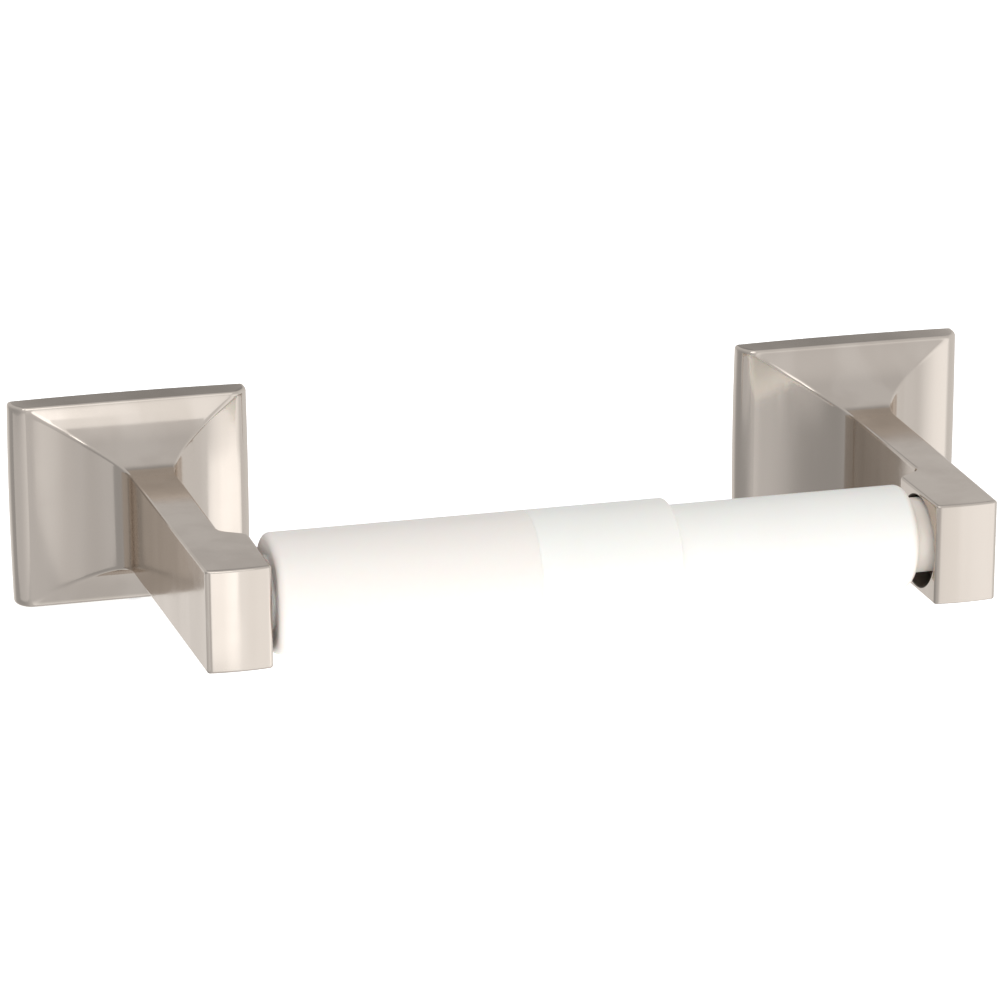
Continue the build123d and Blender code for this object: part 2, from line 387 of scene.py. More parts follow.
class Nodes:
    """Adds nodes to one tree and links them."""

    def __init__(self, tree: bpy.types.NodeTree) -> None:
        """Start with a tree."""
        self.tree = tree

    def add(self, kind: str, inputs: dict | None = None, **settings: object) -> bpy.types.Node:
        """Add a node.

        Args:
            kind: The node's type name.
            inputs: What goes into its sockets, by name or number: a socket to link, or a value.
            **settings: The node's own settings.

        Returns:
            The new node.
        """
        node = self.tree.nodes.new(kind)
        for key, value in settings.items():
            setattr(node, key, value)
        for key, value in (inputs or {}).items():
            if isinstance(value, Socket):
                self.tree.links.new(value, node.inputs[key])
            else:
                node.inputs[key].default_value = value
        return node

    def math(self, operation: str, *values: float | Socket, clamp: bool = False) -> Socket:
        """The result of a Math node on up to three values or sockets."""
        inputs = dict(enumerate(values))
        return self.add("ShaderNodeMath", inputs, operation=operation, use_clamp=clamp).outputs[0]

    def ramp(self, value: Socket, low: float | Socket, high: float | Socket,
             to_low: float = 0.0, to_high: float = 1.0) -> Socket:
        """A value carried smoothly from one range to another, held at its ends."""
        inputs = {0: value, 1: low, 2: high, 3: to_low, 4: to_high}
        return self.add("ShaderNodeMapRange", inputs, interpolation_type="SMOOTHSTEP").outputs[0]

    def noise(self, vector: Socket, scale: float | Socket, detail: float = 2.0) -> Socket:
        """The value of a noise texture."""
        inputs = {"Vector": vector, "Scale": scale, "Detail": detail}
        return self.add("ShaderNodeTexNoise", inputs).outputs["Fac"]

    def mix(self, share: float | Socket, first: Colour | Socket, second: Colour | Socket) -> Socket:
        """A colour between two colours.

        Args:
            share: Share of the second colour.
            first: The first colour.
            second: The second colour.

        Returns:
            The mixed colour.
        """
        inputs = {0: share, 6: first, 7: second}
        inputs = {key: (*v, 1.0) if isinstance(v, tuple) else v for key, v in inputs.items()}
        return self.add("ShaderNodeMix", inputs, data_type="RGBA").outputs[2]


class Effect:
    """A shared surface effect: a node group with named numbers in and named values out."""

    name = ""
    numbers: dict[str, float] = {}
    results: tuple[str, ...] = ()

    def __init__(self) -> None:
        """Make the group and fill it."""
        self.tree = bpy.data.node_groups.new(self.name, "ShaderNodeTree")
        sockets = self.tree.interface
        for label, value in self.numbers.items():
            socket = sockets.new_socket(label, in_out="INPUT", socket_type="NodeSocketFloat")
            socket.default_value = value
        for label in self.results:
            sockets.new_socket(label, in_out="OUTPUT", socket_type="NodeSocketFloat")
        nodes = Nodes(self.tree)
        given = nodes.add("NodeGroupInput").outputs
        place = nodes.add("ShaderNodeTexCoord").outputs["Object"]
        nodes.add("NodeGroupOutput", self.fill(nodes, place, given))

    def fill(self, nodes: Nodes, place: Socket, given: bpy.types.NodeOutputs) -> dict[str, Socket]:
        """Build the effect.

        Args:
            nodes: The group's nodes.
            place: The position on the piece, in metres.
            given: The group's numbers.

        Returns:
            The socket for each result.
        """
        raise NotImplementedError

    def use(self, nodes: Nodes, **numbers: float) -> bpy.types.NodeOutputs:
        """Place the group in a material.

        Args:
            nodes: The material's nodes.
            **numbers: The group's numbers for this material, in lower case.

        Returns:
            The group's results.
        """
        values = {label.capitalize(): value for label, value in numbers.items()}
        return nodes.add("ShaderNodeGroup", values, node_tree=self.tree).outputs


class EdgeWear(Effect):
    """Where edges are rubbed: high along convex edges and broken up by noise."""

    name = "edge_wear"
    numbers = {"Start": 0.51, "End": 0.6, "Scale": 900.0}
    results = ("Mask",)
    BREAKS = (0.35, 0.65)
    LEAST_LEFT = 0.45

    def fill(self, nodes: Nodes, place: Socket, given: bpy.types.NodeOutputs) -> dict[str, Socket]:
        """Pointiness, cut into patches by a fine noise.

        Args:
            nodes: The group's nodes.
            place: The position on the piece, in metres.
            given: The group's numbers.

        Returns:
            The socket for each result.
        """
        edge = nodes.add("ShaderNodeNewGeometry").outputs["Pointiness"]
        ridge = nodes.ramp(edge, given["Start"], given["End"])
        broken = nodes.ramp(nodes.noise(place, given["Scale"], 3.0), *self.BREAKS, self.LEAST_LEFT, 1.0)
        return {"Mask": nodes.math("MULTIPLY", ridge, broken, clamp=True)}


class Grain(Effect):
    """Fine parallel lines left by a brush or a die, long in one direction."""

    name = "grain"
    numbers = {"X": 4000.0, "Y": 4000.0, "Z": 90.0}
    results = ("Height", "Bands")
    BAND_SCALE = 0.12

    def fill(self, nodes: Nodes, place: Socket, given: bpy.types.NodeOutputs) -> dict[str, Socket]:
        """Noise on a stretched position: once fine, and once broad.

        Args:
            nodes: The group's nodes.
            place: The position on the piece, in metres.
            given: The group's numbers.

        Returns:
            The socket for each result.
        """
        scale = nodes.add("ShaderNodeCombineXYZ", {"X": given["X"], "Y": given["Y"], "Z": given["Z"]})
        fine = nodes.add("ShaderNodeVectorMath", {0: place, 1: scale.outputs[0]}, operation="MULTIPLY")
        height = nodes.noise(fine.outputs[0], 1.0, 3.0)
        bands = nodes.noise(fine.outputs[0], self.BAND_SCALE, 2.0)
        return {"Height": height, "Bands": bands}


class Ripple(Effect):
    """The slow waves that casting, polishing or moulding leaves in a surface."""

    name = "ripple"
    numbers = {"Scale": 60.0}
    results = ("Height",)

    def fill(self, nodes: Nodes, place: Socket, given: bpy.types.NodeOutputs) -> dict[str, Socket]:
        """One smooth noise."""
        return {"Height": nodes.noise(place, given["Scale"], 1.0)}


class Handling(Effect):
    """What hands and cleaning leave: smudges, dust in patches and hairline scratches."""

    name = "handling"
    numbers = {"Smudges": 70.0, "Scratches": 260.0}
    results = ("Smudge", "Scratch")
    SMUDGE_RANGE = (0.42, 0.68)
    BEND_SCALE = 45.0
    BEND = (0.012, 0.012, 0.012)
    LINE_RANGE = (0.004, 0.014)
    BREAK_SCALE = 160.0
    BREAKS = (0.58, 0.64)

    def fill(self, nodes: Nodes, place: Socket, given: bpy.types.NodeOutputs) -> dict[str, Socket]:
        """Patches from a noise, and broken hairlines from the edges of large cells.

        Args:
            nodes: The group's nodes.
            place: The position on the piece, in metres.
            given: The group's numbers.

        Returns:
            The socket for each result.
        """
        smudge = nodes.ramp(nodes.noise(place, given["Smudges"], 5.0), *self.SMUDGE_RANGE)
        bent = nodes.add("ShaderNodeTexNoise", {"Vector": place, "Scale": self.BEND_SCALE}).outputs["Color"]
        moved = nodes.add("ShaderNodeVectorMath", {0: bent, 1: self.BEND}, operation="MULTIPLY")
        path = nodes.add("ShaderNodeVectorMath", {0: place, 1: moved.outputs[0]}, operation="ADD")
        inputs = {"Vector": path.outputs[0], "Scale": given["Scratches"]}
        cells = nodes.add("ShaderNodeTexVoronoi", inputs, feature="DISTANCE_TO_EDGE").outputs["Distance"]
        line = nodes.ramp(cells, *self.LINE_RANGE, 1.0, 0.0)
        broken = nodes.ramp(nodes.noise(place, self.BREAK_SCALE, 2.0), *self.BREAKS)
        return {"Smudge": smudge, "Scratch": nodes.math("MULTIPLY", line, broken, clamp=True)}


class Specks(Effect):
    """A few tiny specks of grit in a moulding."""

    name = "specks"
    numbers = {"Scale": 95.0, "Size": 0.03}
    results = ("Mask",)
    PICKED = (0.9, 0.93)

    def fill(self, nodes: Nodes, place: Socket, given: bpy.types.NodeOutputs) -> dict[str, Socket]:
        """The middles of a few cells in a hundred.

        Args:
            nodes: The group's nodes.
            place: The position on the piece, in metres.
            given: The group's numbers.

        Returns:
            The socket for each result.
        """
        cells = nodes.add("ShaderNodeTexVoronoi", {"Vector": place, "Scale": given["Scale"]}).outputs
        draw = nodes.add("ShaderNodeSeparateColor", {0: cells["Color"]}).outputs[0]
        picked = nodes.ramp(draw, *self.PICKED)
        inside = nodes.math("LESS_THAN", cells["Distance"], given["Size"])
        return {"Mask": nodes.math("MULTIPLY", inside, picked)}


@dataclass(frozen=True)
class Effects:
    """The shared effects, each made once."""

    edge_wear: EdgeWear
    grain: Grain
    ripple: Ripple
    handling: Handling
    specks: Specks


# ---------------------------------------------------------------------------------------------
# Finishes
# ---------------------------------------------------------------------------------------------


def new_material(name: str) -> tuple[bpy.types.Material, Nodes]:
    """An empty material and its nodes.

    Args:
        name: Name of the material.

    Returns:
        The material, and the helper that adds nodes to it.
    """
    material = bpy.data.materials.new(name)
    material.use_nodes = True
    material.node_tree.nodes.clear()
    return material, Nodes(material.node_tree)


def bump(nodes: Nodes, height: Socket, distance: float, strength: float = 1.0,
         normal: Socket | None = None) -> Socket:
    """A Bump node's normal.

    Args:
        nodes: The material's nodes.
        height: Height over the surface, from 0 to 1.
        distance: What a height of 1 stands for, in metres.
        strength: Share of the effect.
        normal: A normal to build on.

    Returns:
        The bent normal.
    """
    inputs = {"Height": height, "Distance": distance, "Strength": strength}
    if normal:
        inputs["Normal"] = normal
    return nodes.add("ShaderNodeBump", inputs).outputs[0]


def close_material(nodes: Nodes, inputs: dict) -> None:
    """Add the Principled shader and the material's output."""
    shader = nodes.add("ShaderNodeBsdfPrincipled", inputs)
    nodes.add("ShaderNodeOutputMaterial", {"Surface": shader.outputs[0]})


SCRATCH_DEPTH = -0.002  # how deep hairline scratches look, in millimetres
BAND_RANGE = (0.35, 0.65)


@dataclass(frozen=True)
class PlatedMetal:
    """A metal finish with a grain, slow ripples, rubbed edges and signs of handling."""

    name: str
    slot: str
    colour: Colour
    band_colour: Colour
    worn_colour: Colour
    roughness: float
    rough_patches: float
    grain: Point3
    grain_depth: float
    ripple_scale: float
    ripple_depth: float
    wear: float
    edge_tint: Colour = (1.0, 1.0, 1.0)
    worn_gloss: float = 0.3
    scratch_strength: float = 0.5

    def build(self, effects: Effects) -> bpy.types.Material:
        """Make the material.

        Args:
            effects: The shared effects.

        Returns:
            The material.
        """
        material, nodes = new_material(self.name)
        wear = effects.edge_wear.use(nodes)["Mask"]
        lines = effects.grain.use(nodes, x=self.grain[0], y=self.grain[1], z=self.grain[2])
        waves = effects.ripple.use(nodes, scale=self.ripple_scale)["Height"]
        marks = effects.handling.use(nodes)
        bands = nodes.ramp(lines["Bands"], *BAND_RANGE)
        colour = nodes.mix(bands, self.colour, self.band_colour)
        colour = nodes.mix(nodes.math("MULTIPLY", wear, self.wear), colour, self.worn_colour)
        rough = nodes.math("MULTIPLY_ADD", marks["Smudge"], self.rough_patches, self.roughness)
        rough = nodes.math("MULTIPLY_ADD", lines["Height"], self.rough_patches, rough)
        rough = nodes.math("MULTIPLY_ADD", wear, -self.worn_gloss * self.roughness, rough)
        normal = bump(nodes, waves, self.ripple_depth * MM)
        normal = bump(nodes, lines["Height"], self.grain_depth * MM, normal=normal)
        normal = bump(nodes, marks["Scratch"], SCRATCH_DEPTH * MM, self.scratch_strength, normal)
        inputs = {
            "Base Color": colour, "Metallic": 1.0, "Roughness": rough, "Normal": normal,
            "Specular Tint": (*self.edge_tint, 1.0),
        }
        close_material(nodes, inputs)
        return material


@dataclass(frozen=True)
class MouldedPlastic:
    """A smooth white moulding with a soft depth, slow ripples, a few specks, a warmer tone left of its seam
    and painted shade on its right pin.
    """

    name: str
    slot: str
    colour: Colour
    shade_colour: Colour
    warm_colour: Colour
    warm_below_x: float
    # Painted shade and painted warm reflection on the right pin, where it sits in the socket's shade.
    pin_painted_shade_colour: Colour
    pin_above_x: float
    roughness: float
    warm_blend: float = 0.2
    pin_blend: float = 0.6
    speck_colour: Colour = (0.32, 0.27, 0.22)
    rough_patches: float = 0.08
    ripple_scale: float = 38.0
    ripple_depth: float = 0.02
    grain: Point3 = (60.0, 1500.0, 1500.0)
    grain_depth: float = 0.0012
    smudge_scale: float = 55.0
    scratch_scale: float = 190.0
    scratch_strength: float = 0.4
    shade_range: Point2 = (0.3, 0.7)
    ior: float = 1.49
    depth_weight: float = 0.15
    depth_scale: float = 0.002

    def tinted(self, nodes: Nodes, along: Socket, at: float, blend: float,
               below: Colour | Socket, above: Colour | Socket) -> Socket:
        """A colour that changes over to another at a place along the roller.

        Args:
            nodes: The material's nodes.
            along: Place along the roller, in metres.
            at: Where the change is, in millimetres.
            blend: Half the width of the change, in millimetres.
            below: Colour before the change.
            above: Colour after the change.

        Returns:
            The colour.
        """
        share = nodes.ramp(along, (at - blend) * MM, (at + blend) * MM)
        return nodes.mix(share, below, above)

    def build(self, effects: Effects) -> bpy.types.Material:
        """Make the material.

        Args:
            effects: The shared effects.

        Returns:
            The material.
        """
        material, nodes = new_material(self.name)
        waves = effects.ripple.use(nodes, scale=self.ripple_scale)["Height"]
        lines = effects.grain.use(nodes, x=self.grain[0], y=self.grain[1], z=self.grain[2])
        marks = effects.handling.use(nodes, smudges=self.smudge_scale, scratches=self.scratch_scale)
        specks = effects.specks.use(nodes)["Mask"]
        colour = nodes.mix(nodes.ramp(waves, *self.shade_range), self.colour, self.shade_colour)
        place = nodes.add("ShaderNodeTexCoord").outputs["Object"]
        along = nodes.add("ShaderNodeSeparateXYZ", {0: place}).outputs["X"]
        colour = self.tinted(nodes, along, self.warm_below_x, self.warm_blend, self.warm_colour, colour)
        # Painted shade: the right pin turns darker and warmer, standing in for the socket's shade and the
        # nickel's warm reflection.
        colour = self.tinted(nodes, along, self.pin_above_x, self.pin_blend, colour, self.pin_painted_shade_colour)
        colour = nodes.mix(specks, colour, self.speck_colour)
        rough = nodes.math("MULTIPLY_ADD", marks["Smudge"], self.rough_patches, self.roughness)
        normal = bump(nodes, waves, self.ripple_depth * MM)
        normal = bump(nodes, lines["Height"], self.grain_depth * MM, normal=normal)
        normal = bump(nodes, marks["Scratch"], SCRATCH_DEPTH * MM, self.scratch_strength, normal)
        inputs = {
            "Base Color": colour, "Roughness": rough, "Normal": normal, "IOR": self.ior,
            "Subsurface Weight": self.depth_weight, "Subsurface Scale": self.depth_scale,
        }
        close_material(nodes, inputs)
        return material


SATIN_NICKEL = PlatedMetal(
    "satin_nickel", "satin_nickel", colour=(0.588, 0.53, 0.476), band_colour=(0.637, 0.578, 0.523),
    worn_colour=(0.74, 0.70, 0.65), roughness=0.08, rough_patches=0.05, grain=(900.0, 900.0, 45.0),
    grain_depth=0.0016, ripple_scale=70.0, ripple_depth=0.045, wear=0.35, edge_tint=(0.97, 0.94, 0.91),
)
# Painted shade: an unplated casting look whose darkness stands in for the shade inside the posts' hollow,
# socket and key hole.
PAINTED_SHADE_CASTING = PlatedMetal(
    "painted_shade_casting", "satin_nickel", colour=(0.12, 0.10, 0.085), band_colour=(0.17, 0.148, 0.13),
    worn_colour=(0.30, 0.27, 0.24), roughness=0.46, rough_patches=0.16, grain=(420.0, 420.0, 420.0),
    grain_depth=0.02, ripple_scale=140.0, ripple_depth=0.05, wear=0.3,
)
ZINC_SHEET = PlatedMetal(
    "zinc_plated_steel", "zinc_plated_steel", colour=(0.56, 0.58, 0.61), band_colour=(0.64, 0.65, 0.66),
    worn_colour=(0.74, 0.74, 0.74), roughness=0.28, rough_patches=0.14, grain=(40.0, 1600.0, 1600.0),
    grain_depth=0.004, ripple_scale=180.0, ripple_depth=0.03, wear=0.5,
)
SCREW_ZINC = PlatedMetal(
    "screw_zinc", "screw_zinc", colour=(0.62, 0.62, 0.60), band_colour=(0.70, 0.68, 0.62),
    worn_colour=(0.8, 0.8, 0.79), roughness=0.24, rough_patches=0.12, grain=(600.0, 2600.0, 600.0),
    grain_depth=0.003, ripple_scale=420.0, ripple_depth=0.01, wear=0.6,
)
DARK_STEEL = PlatedMetal(
    "dark_steel", "dark_steel", colour=(0.055, 0.055, 0.06), band_colour=(0.08, 0.078, 0.075),
    worn_colour=(0.42, 0.41, 0.40), roughness=0.36, rough_patches=0.12, grain=(900.0, 900.0, 900.0),
    grain_depth=0.003, ripple_scale=600.0, ripple_depth=0.01, wear=0.55,
)
SPRING_STEEL = PlatedMetal(
    "spring_steel", "spring_steel", colour=(0.36, 0.36, 0.37), band_colour=(0.45, 0.45, 0.45),
    worn_colour=(0.6, 0.6, 0.6), roughness=0.3, rough_patches=0.12, grain=(2200.0, 500.0, 500.0),
    grain_depth=0.002, ripple_scale=500.0, ripple_depth=0.004, wear=0.3,
)
WHITE_PLASTIC = MouldedPlastic(
    "white_plastic", "white_plastic", colour=(0.868, 0.856, 0.824), shade_colour=(0.848, 0.835, 0.80),
    warm_colour=(0.842, 0.794, 0.755), warm_below_x=SEAM_X,
    # The pin colour is painted shade and painted warm reflection from the nickel.
    pin_painted_shade_colour=(0.80, 0.735, 0.67), pin_above_x=63.6, roughness=0.32,
)


# ---------------------------------------------------------------------------------------------
# The posts
# ---------------------------------------------------------------------------------------------


@dataclass(frozen=True)
class Outline:
    """A rounded rectangle across X and Z, whose sides may bow outwards."""

    left: float
    right: float
    half_height: float
    corner: float
    bow: float = 0.0

    # Places of the points along each side; the close ones at both ends hold the corners' shape.
    PLACES = (0.0, 0.02, 0.07, *(i / 12 for i in range(2, 11)), 0.93, 0.98, 1.0)
    ARC_STEPS = 6

    def side(self, start: Point2, end: Point2, out: Point2) -> list[Point2]:
        """One side, with the start of the arc after it left out.

        Args:
            start: Where the side starts.
            end: Where the side ends.
            out: The direction it bows in.

        Returns:
            The side's points.
        """
        points = []
        for t in self.PLACES:
            swell = self.bow * (1 - (2 * t - 1) ** 2)
            points.append(tuple(a + (b - a) * t + o * swell for a, b, o in zip(start, end, out)))
        return points

    def points(self) -> list[Point2]:
        """The outline's points (x, z), anticlockwise from the bottom left.

        Returns:
            The points.
        """
        x0, x1 = self.left + self.bow, self.right - self.bow
        z1 = self.half_height - self.bow
        r = self.corner
        found: list[Point2] = []
        corners = ((x1, -z1, -1, 1), (x1, z1, -1, -1), (x0, z1, 1, -1), (x0, -z1, 1, 1))
        sides = (
            ((x0 + r, -z1), (x1 - r, -z1), (0, -1)),
            ((x1, -z1 + r), (x1, z1 - r), (1, 0)),
            ((x1 - r, z1), (x0 + r, z1), (0, 1)),
            ((x0, z1 - r), (x0, -z1 + r), (-1, 0)),
        )
        for quarter, ((x, z, in_x, in_z), side) in enumerate(zip(corners, sides)):
            found += self.side(*side)
            for k in range(1, self.ARC_STEPS):
                a = pi / 2 * (quarter - 1 + k / self.ARC_STEPS)
                found.append((x + r * (in_x + cos(a)), z + r * (in_z + sin(a))))
        return found


@dataclass
class CastPost:
    """One cast post: a flange with a concave flare, a tapering arm and a head that steps inwards."""

    side: Side
    rim_depth: float = 5.2
    rim_straight: float = 0.8
    rim_draft: float = 0.55
    rim_edge: float = 0.45
    flange_corner: float = 0.9
    flange_bow: float = 0.25
    ledge_x: float = 3.3
    ledge_z: float = 1.2
    flare_depth: float = 23.0
    flare_arc: float = 75.0
    root_outer: float = 3.6
    root_inner: float = 5.8
    tip_outer: float = 1.6
    tip_inner: float = 6.2
    half_arm: float = 10.4
    hip_radius: float = 0.9
    arm_edge: float = 0.5
    head_inner: float = 11.4
    head_depth: float = 21.4
    step_slope: float = 3.4
    step_inside_r: float = 3.6
    step_outside_r: float = 1.2
    crown: float = 0.5
    front_side_round: float = 1.1
    front_top_round: float = 0.45
    casting_wall: float = 2.0
    side_wall: float = 2.3
    hollow_ledge_z: float = 2.5
    hollow_depth: float = 19.0
    socket_r: float = 9.4
    socket_depth: float = 4.5
    socket_from_front: float = 10.7
    key_hole_r: float = 1.5
    key_hole_from_wall: float = 2.2
    key_hole_depth: float = 4.95
    socket_lip: float = 0.25
    socket_floor_ease: float = 0.3
    hollow_corner: float = 1.0
    least_corner: float = 0.03

    RIM_STEPS = 17
    FLARE_STEPS = 44
    ARM_STEPS = 14
    FRONT_STEPS = 8
    HOLLOW_STEPS = 22
    HEAD_PLACES = (0.04, 0.12, 0.25, 0.4, 0.55, 0.7, 0.85, 0.96)

    def __post_init__(self) -> None:
        """Take the flange's place and outer size from the frame."""
        low, high = box_mm(self.node)
        self.half_height = (high.z - low.z) / 2
        self.half_width = (high.x - low.x) / 2
        self.centre_x = (high.x + low.x) / 2
        self.front = -low.y

    @property
    def node(self) -> str:
        """The frame node's name."""
        return f"{self.side.word}_post"

    def placed(self, x: float, y: float, z: float) -> Point3:
        """A point given from the flange's centre, with +X towards the roller, in the frame."""
        return (self.centre_x - self.side.value * x, y, z)

    def flare(self, t: float) -> float:
        """Share of the way from the arm out to the margin, at an angle in degrees along the flare."""
        return (1 - cos(radians(t))) / (1 - cos(radians(self.flare_arc)))

    def outer(self, depth: float) -> float:
        """How far the arm's outer side is from the middle, at a distance from the wall."""
        share = (depth - self.flare_depth) / (self.front - self.crown - self.flare_depth)
        return self.root_outer + (self.tip_outer - self.root_outer) * share

    def face_y(self, x: float) -> float:
        """Y of the head's crowned front face.

        Args:
            x: Place across the head, from the flange's middle.

        Returns:
            Y, which is negative.
        """
        middle = (self.head_inner - self.tip_outer) / 2
        half = (self.head_inner + self.tip_outer) / 2
        return -(self.front - self.crown * ((x - middle) / half) ** 2)

    def inner_side(self) -> list[Point2]:
        """The inner side of the arm and head, from the flare to the head's front: (depth, x).

        Returns:
            The points, each a distance from the wall and a place across the arm.
        """
        head_back = self.front - self.head_depth
        step_start = head_back - self.step_slope
        corners = [
            (self.flare_depth, self.root_inner),
            (step_start, self.tip_inner),
            (head_back, self.head_inner),
            (self.front - self.crown - self.arm_edge, self.head_inner),
        ]
        path = rounded_path(corners, {1: self.step_inside_r, 2: self.step_outside_r}, steps=12)
        arm = [between(path[0], path[1], i / self.ARM_STEPS) for i in range(self.ARM_STEPS)]
        head = [between(path[-2], path[-1], share) for share in self.HEAD_PLACES]
        return [*arm, *path[1:-1], *head, path[-1]]

    def side_inset(self, depth: float) -> float:
        """How far the rim's rounded left and right sides have drawn in, at a distance from the wall.

        Args:
            depth: Distance from the wall.

        Returns:
            The inset from the full width.
        """
        if depth <= self.rim_straight:
            return 0.0
        arc = radians(self.flare_arc)
        turn = asin((depth - self.rim_straight) / (self.rim_depth - self.rim_straight) * sin(arc))
        return self.ledge_x * (1 - cos(turn)) / (1 - cos(arc))

    def top_inset(self, depth: float) -> float:
        """How far the flat, slightly leaning top and bottom of the rim have drawn in.

        Args:
            depth: Distance from the wall.

        Returns:
            The inset from the full height.
        """
        lean = self.rim_draft * depth / self.rim_depth
        past = depth - (self.rim_depth - self.rim_edge)
        if past <= 0:
            return lean
        rest = self.ledge_z - self.rim_draft
        return lean + rest * (1 - sqrt(max(0.0, 1 - (past / self.rim_edge) ** 2)))

    def rings(self) -> list[list[Point3]]:
        """The skin's rings, from the wall to the rounding of the head's front.

        Returns:
            The rings' points.
        """
        width, height = self.half_width, self.half_height
        rings = []

        def add(outline: Outline, depth: float) -> None:
            """Add a flat ring at a distance from the wall."""
            rings.append([(x, -depth, z) for x, z in outline.points()])

        for k in range(self.RIM_STEPS):
            depth = self.rim_depth * sin(pi / 2 * k / self.RIM_STEPS)
            share = depth / self.rim_depth
            corner = self.flange_corner + (self.hip_radius - self.flange_corner) * share
            half_x, half_z = width - self.side_inset(depth), height - self.top_inset(depth)
            add(Outline(-half_x, half_x, half_z, corner, self.flange_bow * (1 - share)), depth)
        reach = (self.flare_depth - self.rim_depth) / sin(radians(self.flare_arc))
        for i in range(self.FLARE_STEPS):
            t = self.flare_arc * (1 - i / self.FLARE_STEPS)
            share = self.flare(t)
            left = self.root_outer + (width - self.ledge_x - self.root_outer) * share
            right = self.root_inner + (width - self.ledge_x - self.root_inner) * share
            tall = self.half_arm + (height - self.ledge_z - self.half_arm) * share
            corner = self.arm_edge + (self.hip_radius - self.arm_edge) * share
            add(Outline(-left, right, tall, corner), self.flare_depth - reach * sin(radians(t)))
        for depth, inner in self.inner_side():
            add(Outline(-self.outer(depth), inner, self.half_arm, self.arm_edge), depth)
        for k in range(1, self.FRONT_STEPS + 1):
            a = pi / 2 * k / self.FRONT_STEPS
            inset_x, inset_z = self.front_side_round * (1 - cos(a)), self.front_top_round * (1 - cos(a))
            corner = self.arm_edge * cos(a) + self.least_corner
            left, right = inset_x - self.tip_outer, self.head_inner - inset_x
            back = self.arm_edge * (1 - sin(a))
            outline = Outline(left, right, self.half_arm - inset_z, corner)
            rings.append([(x, self.face_y(x) + back, z) for x, z in outline.points()])
        return rings

    def front_cap(self, ring: list[Point3], first: int) -> tuple[list[Point3], list[tuple[int, ...]]]:
        """The head's crowned front, as a grid inside the last ring.

        Args:
            ring: The last ring's points.
            first: Number of the last ring's first vertex.

        Returns:
            The new points, and faces that use them and the ring's.
        """
        per_side = len(Outline.PLACES)
        per_quarter = per_side + Outline.ARC_STEPS - 1
        around = len(ring)
        xs = [ring[i][0] for i in range(per_side)]
        zs = [ring[per_quarter + j][2] for j in range(per_side)]
        start = first + around
        points = [(x, self.face_y(x), z) for z in zs for x in xs]
        faces: list[tuple[int, ...]] = []

        def grid(i: int, j: int) -> int:
            """Number of the grid's vertex at a column and a row."""
            return start + j * per_side + i

        last = per_side - 1
        for j in range(last):
            for i in range(last):
                faces.append((grid(i, j), grid(i + 1, j), grid(i + 1, j + 1), grid(i, j + 1)))
        edges = (
            [grid(i, 0) for i in range(per_side)],
            [grid(last, j) for j in range(per_side)],
            [grid(last - i, last) for i in range(per_side)],
            [grid(0, last - j) for j in range(per_side)],
        )
        for quarter, edge in enumerate(edges):
            base = quarter * per_quarter
            for i in range(last):
                faces.append((first + base + i, first + base + i + 1, edge[i + 1], edge[i]))
            for k in range(last, per_quarter):
                here, after = first + base + k, first + (base + k + 1) % around
                faces.append((here, after, edge[last]))
        return points, faces

    def skin(self) -> Piece:
        """The closed outer skin.

        Returns:
            The skin, with its front capped.
        """
        rings = self.rings()
        around = len(rings[0])
        points = [p for ring in rings for p in ring]
        faces = bridge(len(rings), around)
        faces.append(tuple(range(around)))
        more_points, more_faces = self.front_cap(rings[-1], len(points) - around)
        points += more_points
        faces += more_faces
        return make_piece(self.node, [self.placed(*p) for p in points], faces)

    def hollow(self) -> Piece:
        """A closed cutter for the hollow back.

        Returns:
            The cutter.
        """
        rim = self.rim_depth - self.casting_wall
        reach = (self.flare_depth - rim) / sin(radians(self.flare_arc))
        wide, tall = self.half_width - self.side_wall, self.half_height - self.side_wall
        ledge_x = self.half_width - self.ledge_x
        ledge_z = self.half_height - self.hollow_ledge_z
        rings = []
        for depth in (-1.0, rim - 0.2):
            rings.append((Outline(-wide, wide, tall, self.hollow_corner), depth))
        root_left, root_right = self.root_outer - self.casting_wall, self.root_inner - self.casting_wall
        root_z = self.half_arm - self.casting_wall
        for i in range(self.HOLLOW_STEPS + 1):
            t = self.flare_arc * (1 - i / self.HOLLOW_STEPS)
            depth = self.flare_depth - reach * sin(radians(t))
            if depth > self.hollow_depth:
                break
            share = self.flare(t)
            left = root_left + (ledge_x - root_left) * share
            right = root_right + (ledge_x - root_right) * share
            high = root_z + (ledge_z - root_z) * share
            rings.append((Outline(-left, right, high, self.hollow_corner), depth))
        places = [[self.placed(x, -depth, z) for x, z in outline.points()] for outline, depth in rings]
        return closed_loft("hollow", places)

    def socket(self) -> Piece:
        """A closed cutter for the round socket in the head, with an eased lip.

        Returns:
            The cutter.
        """
        floor = self.head_inner - self.socket_depth
        lip, ease, r = self.socket_lip, self.socket_floor_ease, self.socket_r
        outline = [
            (floor, 0), (floor, r - ease), (floor + ease / 3, r - ease / 3), (floor + ease, r),
            (self.head_inner - lip, r), (self.head_inner - lip / 3, r + lip / 6),
            (self.head_inner, r + lip), (self.head_inner + 1, r + lip), (self.head_inner + 1, 0),
        ]
        axis_y = -(self.front - self.socket_from_front)
        return turned("socket", outline, lambda x, u, v: self.placed(x, axis_y + u, v), around=128)

    def key_hole(self) -> Piece:
        """A closed cutter for the set screw's hole, from below.

        Returns:
            The cutter.
        """
        r, bottom = self.key_hole_r, -self.half_height
        top = bottom + self.key_hole_depth
        outline = [(bottom - 1, 0), (bottom - 1, r), (top, r), (top, 0)]
        wall = self.key_hole_from_wall
        return turned("key_hole", outline, lambda z, u, v: self.placed(u, v - wall, z), around=48)

